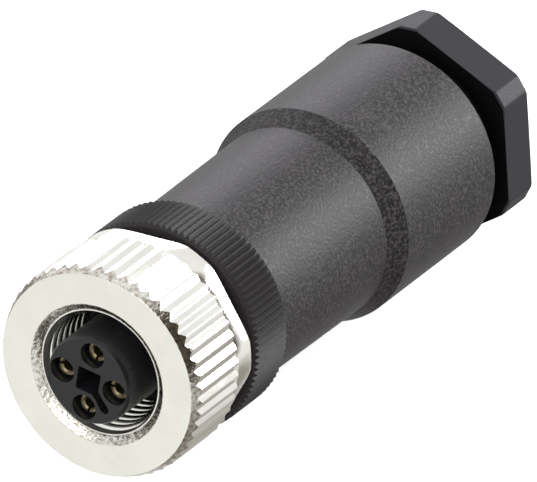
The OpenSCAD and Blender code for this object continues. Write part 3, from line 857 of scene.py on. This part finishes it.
fan = np.concatenate([np.arange(-180, -14, 4), np.arange(-14, 14.01, 0.7), np.arange(18, 180, 4)])
slot_fan = SLOT_TURN + np.radians(fan)
recess = np.array([[recess_radius(t) * math.cos(t), recess_radius(t) * math.sin(t)] for t in slot_fan])
along = np.roll(recess, -1, axis=0) - np.roll(recess, 1, axis=0)
outward = np.stack([along[:, 1], -along[:, 0]], axis=1)
outward /= np.linalg.norm(outward, axis=1)[:, None]
FLARE = 0.1


def recess_ring(grow, station):
    flat = recess + outward * grow
    return np.stack([flat[:, 0], np.full(len(flat), station), flat[:, 1]], axis=1)


recess_rows = [recess_ring(FLARE, -0.3)]
recess_rows += [recess_ring(FLARE * (1 - math.sin(t)), FLARE * (1 - math.cos(t)))
                for t in np.radians([0, 22, 45, 67, 90])]
recess_rows.append(recess_ring(0, RECESS_DEPTH))
points, faces = skin(recess_rows)
count = len(recess)
recess_tool = (points, faces + [tuple(range(count)), tuple(range(len(points) - count, len(points)))])

piece(
    "contact_insert_moulded", [cut(turned(insert_angles, stub), [*hole_tools, recess_tool])],
    "contact_carrier", insert_black, ["contact_insert"], merge=1e-8,
)

# %% [markdown]
# ## Housing
#
# The housing is one moulding in two diameters, joined by a short cone. It widens a little
# towards the step, as a moulding does that has to leave its mould. Its outer edges are only
# slightly rounded, so the step and the rims stay crisp.

# %% Housing
housing_low, housing_high = (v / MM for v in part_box("housing"))
HOUSING_Y, HOUSING_END = housing_low.y, housing_high.y
STEP_Y, GLAND_Y = HOUSING_Y + 17.65, HOUSING_Y + 19.75
SEAT_Y, SEAL_Y = GLAND_Y - 0.7, GLAND_Y + 0.8
SEAL_END = SEAL_Y + 5
outline = [
    (8.06, HOUSING_Y), (9.05, HOUSING_Y), (9.225, STEP_Y), (10.2, GLAND_Y), (10.2, HOUSING_END),
    (8.35, HOUSING_END), (7.95, HOUSING_END - 0.4), (7.95, SEAL_END + 0.3), (7.0, SEAL_END + 0.3),
    (7.0, SEAL_Y + 0.7), (6.2, SEAL_Y - 0.1), (4.3, SEAL_Y - 0.1), (4.3, SEAT_Y), (7.6, SEAT_Y),
    (7.6, COLLAR_END + 8.8), (7.9, COLLAR_END + 8.3), (7.9, HOUSING_Y + 2.06), (8.06, HOUSING_Y + 1.9),
]
edges = [0.08, 0.15, 0.12, 0.1, 0.12, 0.06]
housing_profile = rounded(outline, edges, steps=5)
piece(
    "housing_moulded", [skin(rows_of(even(256), housing_profile), closed=True)],
    "housing", grained, ["housing"],
)

# %% [markdown]
# ## Pressing screw
#
# The rear screw has a hexagon whose corners are cut by a larger circle. Its front and rear edges
# have a small rounding that grows towards the cut corners, so each ring of the mesh bends
# inwards there. A threaded neck reaches into the housing and ends in the cone that closes the
# clamp cage.

# %% Pressing screw
screw_low, screw_high = (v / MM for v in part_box("pressing_screw"))
HEX_END, NECK_END = screw_high.y, screw_low.y
HEX_AF, HEX_D, HEX_EDGE = 19.2, 21.3, 0.15
NECK_THREAD_R, NECK_ROOT_R, SCREW_BORE_R, CABLE_R = 7.9, 7.4, 7.05, 4.3
CONE_Y, CONE_END = HEX_Y - 4.9, HEX_Y - 2.15

corner_at = math.acos(HEX_AF / HEX_D)
one_side = [0, 0.12, 0.25, corner_at - 0.02, corner_at - 0.006, corner_at + 0.006, corner_at + 0.02]
one_side = [-t for t in one_side[:0:-1]] + one_side
hex_flat = math.radians(30)
hex_angles = np.sort(np.concatenate([hex_flat + k * math.pi / 3 + np.array(one_side) for k in range(6)]))
hex_side = hexagon(hex_angles, hex_flat, HEX_AF, HEX_D, 900)
corner_drop = np.maximum(hex_side - (HEX_D / 2 - HEX_EDGE), 0)


def hex_ring(radius, station):
    return ring(hex_angles, radius, station)


hex_rows = [hex_ring(hex_side - 0.8, HEX_Y)]
quarter = np.radians([0, 22.5, 45, 67.5, 90])
front_break, rear_break = 0.07 + corner_drop, 0.1 + corner_drop
hex_rows += [hex_ring(hex_side - front_break * (1 - math.sin(t)), HEX_Y + front_break * (1 - math.cos(t)))
             for t in quarter]
hex_rows += [hex_ring(hex_side - rear_break * (1 - math.cos(t)), HEX_END - rear_break * (1 - math.sin(t)))
             for t in quarter]
hex_rows.append(hex_ring(hex_side - 0.8, HEX_END))

screw_angles = even(160, hex_angles[0])
FRONT_JOINT_R, REAR_JOINT_R = 8.7, 8.6


def neck_bevel(station):
    return NECK_ROOT_R + (station - NECK_END)


bore = [(REAR_JOINT_R, HEX_END)]
bore += fillet((8, HEX_END), (CABLE_R + 0.6, HEX_END), (CABLE_R, HEX_END - 0.6), 0.3)
bore += [(CABLE_R, HEX_END - 0.6), (CABLE_R, CONE_END), (SCREW_BORE_R, CONE_Y), (SCREW_BORE_R, NECK_END),
         (NECK_ROOT_R, NECK_END)]
NECK_PLAIN = 1.2
relief_end = [(NECK_THREAD_R, HEX_Y - NECK_PLAIN), (NECK_ROOT_R + 0.1, HEX_Y - NECK_PLAIN + 0.3),
              (NECK_ROOT_R + 0.1, HEX_Y - 0.15), (NECK_ROOT_R + 0.25, HEX_Y), (FRONT_JOINT_R, HEX_Y)]
piece(
    "pressing_screw_moulded",
    [
        skin(hex_rows),
        zipped(hex_angles, hex_side - 0.8, HEX_Y, screw_angles, FRONT_JOINT_R, HEX_Y),
        zipped(hex_angles, hex_side - 0.8, HEX_END, screw_angles, REAR_JOINT_R, HEX_END),
        skin(rows_of(screw_angles, bore)),
        thread(160, screw_angles[0], NECK_THREAD_R, NECK_ROOT_R, 1.5, NECK_END, HEX_Y - NECK_PLAIN,
               neck_bevel, fade=(0, 0.8)),
        skin(rows_of(screw_angles, relief_end)),
    ],
    "pressing_screw", screw_grey, ["pressing_screw"], merge=2e-7,
)

# %% [markdown]
# ## Seals
#
# The two sealing rings are moulded in two halves, so a hair-fine flash line runs round their
# outside. The gland seal is a thick rubber sleeve with three shallow ribs in its bore. When the
# pressing screw is tightened it has to give way; here it only gets a mesh of its own.

# %% Seals
FLASH = 0.012


def o_ring(name, node, body):
    """A round cord ring in the place of a CAD ring, with a flash line on its outside."""
    low, high = (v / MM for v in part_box(node))
    cord = high.y - low.y
    middle_r = high.x - cord / 2
    middle_y = (low.y + high.y) / 2
    profile = []
    for t in np.radians(np.arange(0, 360, 15)):
        swell = FLASH if abs(math.sin(t)) < 0.01 else 0
        profile.append((middle_r + (cord / 2 - FLASH + swell) * math.cos(t),
                        middle_y + cord / 2 * math.sin(t)))
    return piece(name, [skin(rows_of(even(128), profile), closed=True)], body, cord_rubber,
                 [node], sharp_deg=50)


o_ring("face_seal_ring", "face_seal", "contact_carrier")
o_ring("collar_seal_ring", "collar_seal", "seal_ring")

seal_low, seal_high = (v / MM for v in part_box("gland_seal"))
seal_outline = [(4.1, seal_low.y), (6.1, seal_low.y), (6.9, seal_low.y + 0.8), (6.9, seal_high.y),
                (4.5, seal_high.y), (4.1, seal_high.y - 0.4)]
for k in range(3):
    at = seal_high.y - 1.1 - 1.2 * k
    seal_outline += [(4.1, at), (4.28, at - 0.15), (4.28, at - 0.55), (4.1, at - 0.7)]
seal_profile = rounded(seal_outline, [0.1, 0.15, 0.2, 0.2, 0.15, 0.1], steps=4)
gland_seal = piece(
    "gland_seal_sleeve", [skin(rows_of(even(128), seal_profile), closed=True)],
    "housing", gland_rubber, ["gland_seal"],
)
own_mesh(gland_seal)

# %% [markdown]
# ## Pieces kept from the CAD model
#
# Contacts, clamp screws, the rear insulator and the clamp cage have the right shape already.
# They only need their finishes.

# %% Kept pieces
for k in range(1, 5):
    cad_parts[f"contact_{k}"].data.materials.clear()
    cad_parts[f"contact_{k}"].data.materials.append(gold)
    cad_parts[f"terminal_screw_{k}"].data.materials.clear()
    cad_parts[f"terminal_screw_{k}"].data.materials.append(steel)
for node, finish in (("terminal_block", block_black), ("clamp_cage", cage_black)):
    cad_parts[node].data.materials.clear()
    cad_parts[node].data.materials.append(finish)
shown = [o.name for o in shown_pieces()]
print("pieces shown:", len(shown), shown)
